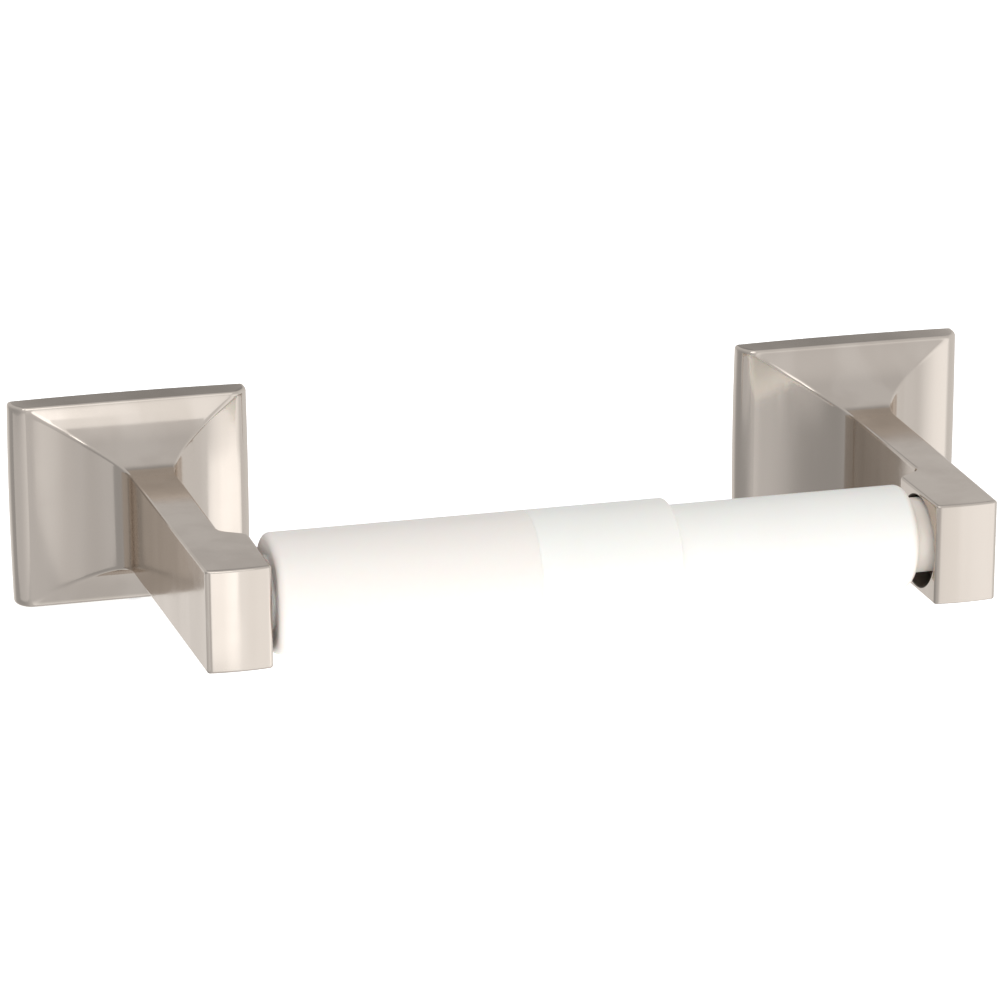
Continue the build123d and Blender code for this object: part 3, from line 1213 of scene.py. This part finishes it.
    def build(self, material: bpy.types.Material, inside: bpy.types.Material) -> None:
        """Make the post.

        Args:
            material: Its plated finish.
            inside: An unplated casting finish for its hollow, socket and key hole, made dark enough to
                paint the shade inside them.
        """
        post = self.skin()
        post.data.materials.append(material)
        cutters = [self.hollow(), self.socket(), self.key_hole()]
        # The cutters' faces take the dark finish, which is painted shade in the hollow, socket and key
        # hole.
        for cutter in cutters:
            cutter.data.materials.append(inside)
        cut(post, cutters)
        shade(post)
        post.name = f"{self.side.word}_cast_post"
        finish_piece(post, material, Body.FIXTURE, self.node, SATIN_NICKEL.slot)


# ---------------------------------------------------------------------------------------------
# What holds a post to the wall
# ---------------------------------------------------------------------------------------------


@dataclass
class WallBracket:
    """A stamped steel plate whose top and bottom lips flare outwards."""

    side: Side
    sheet: float = 1.2
    lip_flare: float = 1.0
    bend_r: float = 0.5
    corner_r: float = 2.2
    hole_r: float = 2.3
    outer_bend_share: float = 0.8
    lip_corner_share: float = 0.8
    edge_round: float = 0.14
    corner_steps: int = 8

    @property
    def node(self) -> str:
        """The frame node's name."""
        return f"{self.side.word}_wall_bracket"

    def __post_init__(self) -> None:
        """Take how far the lips stand off the wall from the frame."""
        low, high = box_mm(self.node)
        self.lip_full = high.y - low.y

    def section(self, half: float, lip: float) -> list[Point2]:
        """The sheet's section (z, y), for a lip that stands a given distance off the wall.

        Args:
            half: Half the distance between the lips at the wall.
            lip: The lips' distance off the wall.

        Returns:
            The section's points.
        """
        out = self.lip_flare * lip / self.lip_full
        t = self.sheet
        corners = [
            (-half, 0), (half, 0), (half + out, -lip), (half + out - t, -lip),
            (half - t, -t), (t - half, -t), (t - half - out, -lip), (-half - out, -lip),
        ]
        outside = self.bend_r + t * self.outer_bend_share
        radii = {0: outside, 1: outside, 4: self.bend_r, 5: self.bend_r}
        return rounded_path(corners, radii)

    def build(self, material: bpy.types.Material, screws_z: Sequence[float]) -> None:
        """Make the bracket.

        Args:
            material: Its finish.
            screws_z: Heights of its holes.
        """
        low, high = box_mm(self.node)
        half_width, centre_x = (high.x - low.x) / 2, (high.x + low.x) / 2
        half = high.z - self.lip_flare
        r = self.corner_r
        steps = range(self.corner_steps, -1, -1)
        places = [half_width - r * (1 - cos(pi / 2 * k / self.corner_steps)) for k in steps]
        places = [-x for x in reversed(places)] + [-half_width / 3, half_width / 3] + places
        rings = []
        for x in places:
            past = max(0.0, abs(x) - (half_width - r))
            lip = self.lip_full - self.lip_corner_share * (r - sqrt(max(0.0, r * r - past * past)))
            rings.append([(centre_x + x, y, z) for z, y in self.section(half, lip)])
        bracket = closed_loft(self.node, rings)
        holes = []
        for z in screws_z:
            outline = [(-3, 0), (-3, self.hole_r), (1, self.hole_r), (1, 0)]
            holes.append(turned("hole", outline, lambda y, u, v, z=z: (centre_x + u, y, z + v), 48))
        cut(bracket, holes)
        soften(bracket, self.edge_round)
        shade(bracket)
        bracket.name = f"{self.side.word}_stamped_bracket"
        finish_piece(bracket, material, Body.FIXTURE, self.node, ZINC_SHEET.slot)


@dataclass
class WallScrew:
    """A pan-head wood screw with a cross recess, along +Y."""

    side: Side
    level: Level
    length: float = 25.0
    point: float = 4.5
    shank_r: float = 2.05
    neck_r: float = 2.2
    neck_length: float = 1.2
    head_r: float = 3.8
    head_height: float = 2.4
    recess_span: float = 4.0
    recess_width: float = 0.9
    recess_depth: float = 1.5
    pitch: float = 1.75
    thread_depth: float = 0.62
    head_steps: int = 8
    head_edge_share: float = 0.42
    head_fullness: float = 0.9
    recess_taper: float = 0.45
    blade_least_share: float = 0.4

    @property
    def node(self) -> str:
        """The frame node's name."""
        return f"{self.side.word}_{self.level.word}_wall_screw"

    def __post_init__(self) -> None:
        """Take the screw's place from the frame."""
        low, high = box_mm(self.node)
        self.centre_x, self.centre_z = (low.x + high.x) / 2, (low.z + high.z) / 2
        self.under_head = high.y - self.length

    def recess(self, placed: Callable[[float, float, float], Point3]) -> list[Piece]:
        """Two closed tapering blades that cut the cross recess.

        Args:
            placed: Gives the frame's point for a place along and across the axis.

        Returns:
            The cutters.
        """
        top = -self.head_height - 0.3
        floor = -self.head_height + self.recess_depth
        blades = []
        for upright in (True, False):
            rings = []
            for y, taper in ((top, 1.0), (floor, self.recess_taper)):
                thin = self.blade_least_share + (1 - self.blade_least_share) * taper
                a, b = self.recess_span / 2 * taper, self.recess_width / 2 * thin
                corners = ((-a, -b), (a, -b), (a, b), (-a, b))
                rings.append([placed(y, u, v) if upright else placed(y, -v, u) for u, v in corners])
            blades.append(closed_loft("blade", rings))
        return blades

    def build(self, material: bpy.types.Material) -> None:
        """Make the screw.

        Args:
            material: Its finish.
        """
        def placed(along: float, u: float, v: float) -> Point3:
            """The frame's point for a place along and across the screw's axis."""
            return (self.centre_x + u, self.under_head + along, self.centre_z + v)

        shoulder = self.length - self.point
        thread = Thread(self.neck_length + 0.6, self.length - 0.3, self.pitch, self.thread_depth)
        head = [(-self.head_height, 0.0)]
        edge = self.head_edge_share
        for k in range(1, self.head_steps + 1):
            a = pi / 2 * k / self.head_steps
            along = -self.head_height * (edge + (1 - edge) * cos(a))
            head.append((along, self.head_r * sin(a) ** self.head_fullness))
        head += [(-0.25, self.head_r), (-0.06, self.head_r - 0.07), (0, self.head_r - 0.25)]
        neck = [(0, self.neck_r + 0.12), (0.12, self.neck_r), (self.neck_length - 0.1, self.neck_r)]
        neck.append((self.neck_length, self.shank_r))
        shank = []
        for y in thread.rows():
            share = min(1.0, max(0.0, (self.length - y) / self.point)) if y > shoulder else 1.0
            shank.append((y, self.shank_r * share))
        outline = [*head, *neck, *shank, (self.length, 0.0)]
        screw = turned(self.node, outline, placed, around=48, thread=thread)
        cut(screw, self.recess(placed))
        shade(screw, angle=SCREW_CREASE)
        screw.name = f"{self.side.word}_{self.level.word}_threaded_screw"
        finish_piece(screw, material, Body.FIXTURE, self.node, SCREW_ZINC.slot)


@dataclass
class SetScrew:
    """A headless screw with a hexagon socket in its lower end, along Z."""

    side: Side
    pitch: float = 0.5
    thread_depth: float = 0.2
    key: float = 1.5
    key_depth: float = 1.6
    cup_r: float = 0.7
    cup_depth: float = 0.3
    end_chamfer: float = 0.3
    tip_chamfer: float = 0.4

    @property
    def node(self) -> str:
        """The frame node's name."""
        return f"{self.side.word}_set_screw"

    def build(self, material: bpy.types.Material) -> None:
        """Make the set screw.

        Args:
            material: Its finish.
        """
        low, high = box_mm(self.node)
        x, y, r = (low.x + high.x) / 2, (low.y + high.y) / 2, (high.x - low.x) / 2

        def placed(along: float, u: float, v: float) -> Point3:
            """The frame's point for a place along and across the screw's axis."""
            return (x + u, y + v, along)

        chamfer, tip = self.end_chamfer, self.tip_chamfer
        thread = Thread(low.z + chamfer, high.z - tip - 0.05, self.pitch, self.thread_depth, runout=chamfer)
        outline = [(low.z, 0.0), (low.z, r - chamfer)]
        outline += [(z, r) for z in thread.rows()]
        outline += [(high.z - tip, r - tip / 2), (high.z, self.cup_r), (high.z - 0.2, self.cup_r / 2)]
        outline.append((high.z - self.cup_depth, 0.0))
        screw = turned(self.node, outline, placed, around=48, thread=thread)
        half = self.key / 2 / cos(pi / 6)
        ends = (low.z - 0.5, low.z + self.key_depth)
        corners = [(half * cos(pi / 3 * k), half * sin(pi / 3 * k)) for k in range(6)]
        cut(screw, [closed_loft("key", [[placed(z, u, v) for u, v in corners] for z in ends])])
        shade(screw, angle=SCREW_CREASE)
        screw.name = f"{self.side.word}_threaded_set_screw"
        finish_piece(screw, material, Body.FIXTURE, self.node, DARK_STEEL.slot)


@dataclass
class WallFixture:
    """Both posts with everything that holds them to the wall."""

    nickel: bpy.types.Material
    # Dark casting finish whose colour paints the shade inside the posts' hollow, socket and key hole.
    painted_shade_casting: bpy.types.Material
    zinc: bpy.types.Material
    screw_zinc: bpy.types.Material
    dark_steel: bpy.types.Material

    def build(self) -> None:
        """Make every piece of the fixture."""
        for side in Side:
            screws = [WallScrew(side, level) for level in Level]
            CastPost(side).build(self.nickel, self.painted_shade_casting)
            WallBracket(side).build(self.zinc, [screw.centre_z for screw in screws])
            SetScrew(side).build(self.dark_steel)
            for screw in screws:
                screw.build(self.screw_zinc)


# ---------------------------------------------------------------------------------------------
# The roller
# ---------------------------------------------------------------------------------------------


@dataclass
class CoilSpring:
    """The compression spring seated in the two hollow pins, with closed end turns."""

    placed: Callable[[float, float, float], Point3]
    node: str = "roller_spring"
    joint: str = "roller_compress"
    mean_r: float = 4.6
    wire_r: float = 0.5
    turns: float = 19.0
    end_turns: float = 1.3
    end_pitch: float = 1.12
    blend_turns: float = 0.3
    rings_per_turn: int = 36
    around_wire: int = 12
    end_taper: float = 0.8
    slope_step: float = 0.01

    def __post_init__(self) -> None:
        """Take where the spring starts and its length from the frame."""
        low, high = box_mm(self.node)
        self.start, self.full_length = low.x, high.x - low.x
        self.wire_length = self.full_length - 2 * self.wire_r

    def stepped(self, turn: float) -> float:
        """Place along the axis after some turns, with a sudden change from the end turns to the rest.

        Args:
            turn: Turns from the start of the wire.

        Returns:
            The place, from the start of the spring.
        """
        closed = self.end_turns * self.end_pitch
        if turn < self.end_turns:
            return turn * self.end_pitch
        if turn > self.turns - self.end_turns:
            return self.wire_length - (self.turns - turn) * self.end_pitch
        share = (turn - self.end_turns) / (self.turns - 2 * self.end_turns)
        return closed + (self.wire_length - 2 * closed) * share

    def along(self, turn: float) -> float:
        """Place along the axis after some turns, with the change of pitch spread out."""
        window = [self.blend_turns * k / 4 for k in range(-4, 5)]
        return sum(self.stepped(turn + offset) for offset in window) / len(window)

    def ring(self, turn: float, r: float) -> list[Point3]:
        """Points round the wire.

        Args:
            turn: Place along the wire, in turns.
            r: Radius of the ring.

        Returns:
            The points, in the frame.
        """
        angle = 2 * pi * turn
        outwards = Vector((0.0, cos(angle), sin(angle)))
        step = self.slope_step
        slope = (self.along(turn + step) - self.along(turn - step)) / (2 * step)
        forwards = Vector((slope, -2 * pi * self.mean_r * sin(angle), 2 * pi * self.mean_r * cos(angle)))
        sideways = forwards.normalized().cross(outwards)
        centre = outwards * self.mean_r
        centre.x = self.start + self.wire_r + self.along(turn)
        turns = [2 * pi * k / self.around_wire for k in range(self.around_wire)]
        return [self.placed(*(centre + (outwards * cos(a) + sideways * sin(a)) * r)) for a in turns]

    def build(self, material: bpy.types.Material) -> None:
        """Make the spring.

        Args:
            material: Its finish.
        """
        count = ceil(self.turns * self.rings_per_turn)
        end_r = self.wire_r * self.end_taper
        rings = [self.ring(0.0, end_r)]
        rings += [self.ring(self.turns * k / count, self.wire_r) for k in range(count + 1)]
        rings.append(self.ring(self.turns, end_r))
        spring = closed_loft("coil_spring", rings)
        shade(spring)
        finish_piece(spring, material, Body.ROLLER, self.node, SPRING_STEEL.slot)
        shortest, longest = joint_named(self.joint)["range_m"]
        anchor = tuple(c * MM for c in self.placed(self.start, 0.0, 0.0))
        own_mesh(spring)


@dataclass
class Roller:
    """The two telescoping tubes and the spring inside them."""

    plastic: bpy.types.Material
    steel: bpy.types.Material
    outer_r: float = 12.0
    inner_r: float = 10.5
    sliding_gap: float = 0.06
    outer_wall: float = 0.9
    inner_wall: float = 1.2
    end_wall: float = 2.0
    shoulder_round: float = 1.5
    step_round: float = 0.5
    pin_edge_r: float = 0.5
    pin_root_r: float = 0.3
    mouth_r: float = 0.2
    collar_edge_r: float = 0.3
    round_steps: int = 8
    guide_length: float = 6.0
    collar_r: float = 10.8
    collar_length: float = 2.0
    pin_r: float = 7.6
    pin_bore_r: float = 5.6
    pin_end_wall: float = 1.5
    left_pin: float = 5.4
    right_pin: float = 7.4
    seam_x: float = SEAM_X
    seam_depth: float = 0.15
    seam_half_width: float = 0.25
    bore_chamfer: float = 0.4
    long_stretch: float = 4.0
    held_from_end: float = 0.3

    def __post_init__(self) -> None:
        """Take the roller's axis from the joint that turns it."""
        spin = joint_named("roller_spin")
        self.axis_y, self.axis_z = spin["pos_m"][1] / MM, spin["pos_m"][2] / MM

    def placed(self, x: float, u: float, v: float) -> Point3:
        """A point given along and across the roller's axis, in the frame."""
        return (x, self.axis_y + u, self.axis_z + v)

    def pin_radii(self) -> dict[int, float]:
        """The roundings both tubes share, at the pin's edge, its root and the shoulder."""
        return {1: self.pin_edge_r, 2: self.pin_root_r, 3: self.shoulder_round}

    def outer_tube(self) -> Piece:
        """The larger tube, closed on the left with a hollow pin.

        Returns:
            The tube.
        """
        low, high = box_mm("roller_outer_tube")
        shoulder, mouth = low.x + self.left_pin, high.x - self.guide_length
        bore, guide = self.outer_r - self.outer_wall, self.inner_r + self.sliding_gap
        seam = self.seam_half_width
        corners = [
            (low.x, 0), (low.x, self.pin_r), (shoulder, self.pin_r), (shoulder, self.outer_r),
            (self.seam_x - seam, self.outer_r), (self.seam_x, self.outer_r - self.seam_depth),
            (self.seam_x + seam, self.outer_r), (high.x, self.outer_r), (high.x, guide),
            (mouth, guide), (mouth - self.bore_chamfer, bore), (shoulder + self.end_wall, bore),
            (shoulder + self.end_wall, self.pin_bore_r), (low.x + self.pin_end_wall, self.pin_bore_r),
            (low.x + self.pin_end_wall, 0),
        ]
        radii = {**self.pin_radii(), 7: self.step_round, 8: self.mouth_r}
        return self.ringed("roller_outer_tube", rounded_path(corners, radii, self.round_steps))

    def inner_tube(self) -> Piece:
        """The smaller tube, closed on the right with a hollow pin, with a collar at its hidden end.

        Returns:
            The tube.
        """
        low, high = box_mm("roller_inner_tube")
        shoulder, bore = high.x - self.right_pin, self.inner_r - self.inner_wall
        collar_end = low.x + self.collar_length
        corners = [
            (high.x, 0), (high.x, self.pin_r), (shoulder, self.pin_r), (shoulder, self.inner_r),
            (collar_end, self.inner_r), (collar_end, self.collar_r), (low.x, self.collar_r),
            (low.x, bore), (shoulder - self.end_wall, bore), (shoulder - self.end_wall, self.pin_bore_r),
            (high.x - self.pin_end_wall, self.pin_bore_r), (high.x - self.pin_end_wall, 0),
        ]
        radii = {**self.pin_radii(), 5: self.collar_edge_r, 6: self.collar_edge_r}
        return self.ringed("roller_inner_tube", rounded_path(corners, radii, self.round_steps))

    def ringed(self, node: str, outline: list[Point2]) -> Piece:
        """Turn an outline, with rings close to the ends of long straight stretches to hold their shape.

        Args:
            node: Name of the piece.
            outline: Points (along, radius) from one end to the other.

        Returns:
            The turned piece.
        """
        held = [outline[0]]
        for before, after in zip(outline, outline[1:]):
            gap = abs(after[0] - before[0])
            if gap > self.long_stretch:
                near = self.held_from_end / gap
                held += [between(before, after, share) for share in (near, 0.5, 1 - near)]
            held.append(after)
        tube = turned(node, held, self.placed, around=192)
        shade(tube)
        return tube

    def build(self) -> None:
        """Make both tubes and the spring."""
        pieces = (
            (self.outer_tube(), "larger_tube", Body.ROLLER, "roller_outer_tube"),
            (self.inner_tube(), "smaller_tube", Body.ROLLER_END, "roller_inner_tube"),
        )
        for tube, name, body, node in pieces:
            tube.name = name
            finish_piece(tube, self.plastic, body, node, WHITE_PLASTIC.slot)
        CoilSpring(self.placed).build(self.steel)


# ---------------------------------------------------------------------------------------------
# The studio
# ---------------------------------------------------------------------------------------------


@dataclass(frozen=True)
class SoftBox:
    """A soft light, placed from the middle of a frame node and facing it; metres and degrees."""

    name: str
    aimed_at: str
    azimuth: float
    elevation: float
    distance: float
    width: float
    height: float
    radiance: float
    in_reflections: bool

    def build(self) -> None:
        """Place the light."""
        low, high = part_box(self.aimed_at)
        away = direction(self.azimuth, self.elevation)
        light = bpy.data.lights.new(self.name, "AREA")
        light.shape, light.size, light.size_y = "RECTANGLE", self.width, self.height
        light.energy = self.radiance * pi * self.width * self.height
        lamp = bpy.data.objects.new(self.name, light)
        lamp.location = (low + high) / 2 + away * self.distance
        lamp.rotation_euler = away.to_track_quat("Z", "Y").to_euler()
        lamp.visible_camera, lamp.visible_glossy = False, self.in_reflections
        bpy.context.scene.collection.objects.link(lamp)


@dataclass(frozen=True)
class Glow:
    """A soft bright or dim patch of the studio's walls; angles are degrees."""

    azimuth: float
    elevation: float
    spread: float
    strength: float


def direction(azimuth: float, elevation: float) -> Vector:
    """Unit vector away from the holder: azimuth 0 is towards its front, and 90 towards +X."""
    a, e = radians(azimuth), radians(elevation)
    return Vector((sin(a) * cos(e), -cos(a) * cos(e), sin(e)))


EVEN_LIGHT = 0.70
GLOWS = (
    Glow(azimuth=30.0, elevation=-20.0, spread=42.0, strength=0.58),
    Glow(azimuth=95.0, elevation=-10.0, spread=70.0, strength=0.18),
    Glow(azimuth=-95.0, elevation=-15.0, spread=75.0, strength=-0.26),
    Glow(azimuth=-165.0, elevation=-20.0, spread=35.0, strength=0.24),
    Glow(azimuth=5.0, elevation=45.0, spread=50.0, strength=0.12),
    Glow(azimuth=164.0, elevation=31.0, spread=16.0, strength=-0.36),
)
SOFT_BOXES = (
    SoftBox("upper_left_box", "left_post", azimuth=-2.5, elevation=33.6, distance=0.40,
            width=0.13, height=0.20, radiance=0.66, in_reflections=True),
    SoftBox("wide_left_box", "left_post", azimuth=0.0, elevation=40.0, distance=0.40,
            width=0.26, height=0.38, radiance=0.42, in_reflections=True),
    SoftBox("edge_box", "roller_outer_tube", azimuth=-38.0, elevation=34.0, distance=0.9,
            width=0.22, height=0.22, radiance=1.8, in_reflections=True),
    SoftBox("left_head_box", "left_post", azimuth=0.5, elevation=-13.1, distance=0.168,
            width=0.055, height=0.03, radiance=0.55, in_reflections=True),
    SoftBox("left_side_box", "left_post", azimuth=-68.0, elevation=-17.5, distance=0.22,
            width=0.38, height=0.06, radiance=0.24, in_reflections=True),
    SoftBox("left_flank_box", "left_post", azimuth=62.0, elevation=-19.0, distance=0.20,
            width=0.14, height=0.03, radiance=0.40, in_reflections=True),
    SoftBox("top_box", "roller_outer_tube", azimuth=15.0, elevation=62.0, distance=1.5,
            width=1.4, height=1.0, radiance=0.5, in_reflections=False),
)


@dataclass(frozen=True)
class Studio:
    """A pale floor, soft lights and the camera; lengths are metres."""

    floor_drop: float = 0.0003
    floor_size: float = 12.0
    camera_from: Point3 = (-0.23613, -0.84881, 0.27073)
    camera_turn: Point3 = (72.4125, 0.1146, -15.6757)
    lens_mm: float = 154.57
    sensor_mm: float = 36.0
    nearest: float = 0.05
    farthest: float = 30.0
    floor_white: Colour = (0.9, 0.9, 0.9)
    floor_glow: float = 0.85

    def floor(self) -> None:
        """A plain white floor just under the flanges, lit a little from within to even it out."""
        low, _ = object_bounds()
        half = self.floor_size / 2
        height = low.z - self.floor_drop
        corners = [(x * half, y * half, height) for x, y in ((-1, -1), (1, -1), (1, 1), (-1, 1))]
        mesh = bpy.data.meshes.new("floor")
        mesh.from_pydata(corners, [], [(0, 1, 2, 3)])
        floor = bpy.data.objects.new("floor", mesh)
        floor.visible_glossy = False
        bpy.context.scene.collection.objects.link(floor)
        material, nodes = new_material("floor_white")
        white = (*self.floor_white, 1.0)
        glow = {"Emission Color": white, "Emission Strength": self.floor_glow}
        close_material(nodes, {"Base Color": white, "Roughness": 0.9, **glow})
        mesh.materials.append(material)
        floor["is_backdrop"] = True

    def camera(self) -> None:
        """The camera, to the left of the holder, in front of it and above."""
        data = bpy.data.cameras.new("camera")
        data.lens, data.sensor_width = self.lens_mm, self.sensor_mm
        data.clip_start, data.clip_end = self.nearest, self.farthest
        camera = bpy.data.objects.new("camera", data)
        camera.location = self.camera_from
        camera.rotation_euler = tuple(radians(a) for a in self.camera_turn)
        bpy.context.scene.collection.objects.link(camera)
        bpy.context.scene.camera = camera

    def surroundings(self) -> None:
        """The studio's walls: an even light with a few broad glows."""
        world = bpy.data.worlds.new("studio")
        world.use_nodes = True
        world.node_tree.nodes.clear()
        nodes = Nodes(world.node_tree)
        towards = nodes.add("ShaderNodeTexCoord").outputs["Generated"]
        level: float | Socket = EVEN_LIGHT
        for glow in GLOWS:
            inputs = {0: towards, 1: direction(glow.azimuth, glow.elevation)}
            near = nodes.add("ShaderNodeVectorMath", inputs, operation="DOT_PRODUCT").outputs["Value"]
            patch = nodes.ramp(near, cos(radians(glow.spread)), 1.0)
            level = nodes.math("MULTIPLY_ADD", patch, glow.strength, level)
        background = nodes.add("ShaderNodeBackground", {"Color": (1.0, 1.0, 1.0, 1.0), "Strength": level})
        nodes.add("ShaderNodeOutputWorld", {"Surface": background.outputs[0]})
        bpy.context.scene.world = world
        bpy.context.scene.view_settings.view_transform = "Standard"

    def build(self) -> None:
        """Set up the whole studio."""
        self.floor()
        self.camera()
        self.surroundings()
        for box in SOFT_BOXES:
            box.build()


def main() -> None:
    """Build the holder, then the studio."""
    logging.basicConfig(level=logging.INFO, format="%(message)s")
    effects = Effects(EdgeWear(), Grain(), Ripple(), Handling(), Specks())
    fixture = WallFixture(
        nickel=SATIN_NICKEL.build(effects),
        painted_shade_casting=PAINTED_SHADE_CASTING.build(effects),
        zinc=ZINC_SHEET.build(effects),
        screw_zinc=SCREW_ZINC.build(effects),
        dark_steel=DARK_STEEL.build(effects),
    )
    fixture.build()
    Roller(plastic=WHITE_PLASTIC.build(effects), steel=SPRING_STEEL.build(effects)).build()
    Studio().build()


if __name__ == "__main__":
    main()
